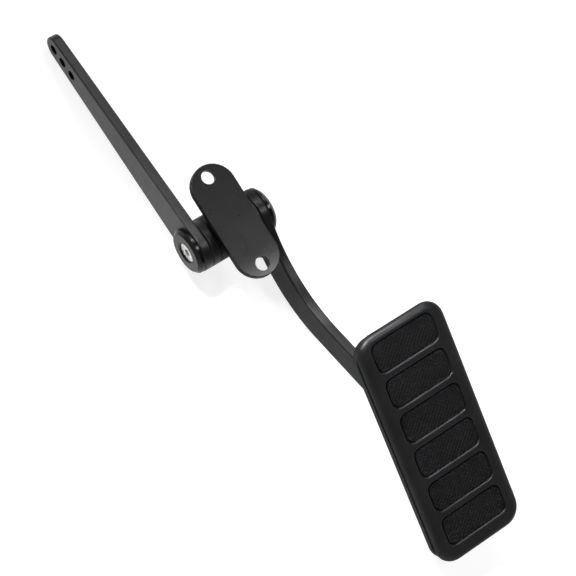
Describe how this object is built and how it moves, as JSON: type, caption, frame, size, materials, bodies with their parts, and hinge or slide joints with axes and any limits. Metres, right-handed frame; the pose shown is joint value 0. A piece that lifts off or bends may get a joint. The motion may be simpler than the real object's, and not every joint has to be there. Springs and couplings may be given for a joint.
{
  "type": "accelerator pedal",
  "caption": "Lever-type accelerator pedal: round-ended mounting plate on a cross pivot, tapered throttle arm with cable holes, bent pedal arm and a windowed pad with rubber inserts.",
  "frame": {"origin": "centre of the mounting plate's outer face, midway between its two bolt holes", "axes": "+Z out of the mounting face, +Y along the plate towards the throttle arm, +X along the pivot from the throttle arm towards the pedal arm"},
  "size_m": [0.0857, 0.3705, 0.0916],
  "materials": {
    "black_aluminium": "black satin anodised",
    "black_acetal": "black satin",
    "steel": "bright",
    "black_steel": "black oxide",
    "black_rubber": "matt, fine diamond pattern"
  },
  "bodies": {
    "bracket": {"mounting_bracket": "black_aluminium", "bush_left": "black_acetal", "bush_right": "black_acetal"},
    "lever": {"pivot_shaft": "steel", "throttle_arm": "black_aluminium", "pedal_arm": "black_aluminium", "end_cap_left": "black_aluminium", "end_cap_right": "black_aluminium", "cap_screw_left": "steel", "cap_screw_right": "steel", "pad_bracket": "black_aluminium", "arm_bolts": "black_steel", "bracket_screws": "black_steel", "frame_screws": "black_steel", "backing_plate": "black_aluminium", "pad_frame": "black_aluminium", "rubber_insert_1": "black_rubber", "rubber_insert_2": "black_rubber", "rubber_insert_3": "black_rubber", "rubber_insert_4": "black_rubber", "rubber_insert_5": "black_rubber", "rubber_insert_6": "black_rubber"}
  },
  "joints": [
    {"name": "pedal_pivot", "type": "hinge", "parent": "bracket", "child": "lever", "pos_m": [0, 0, -0.0216], "axis": [1, 0, 0], "continuous": true}
  ]
}
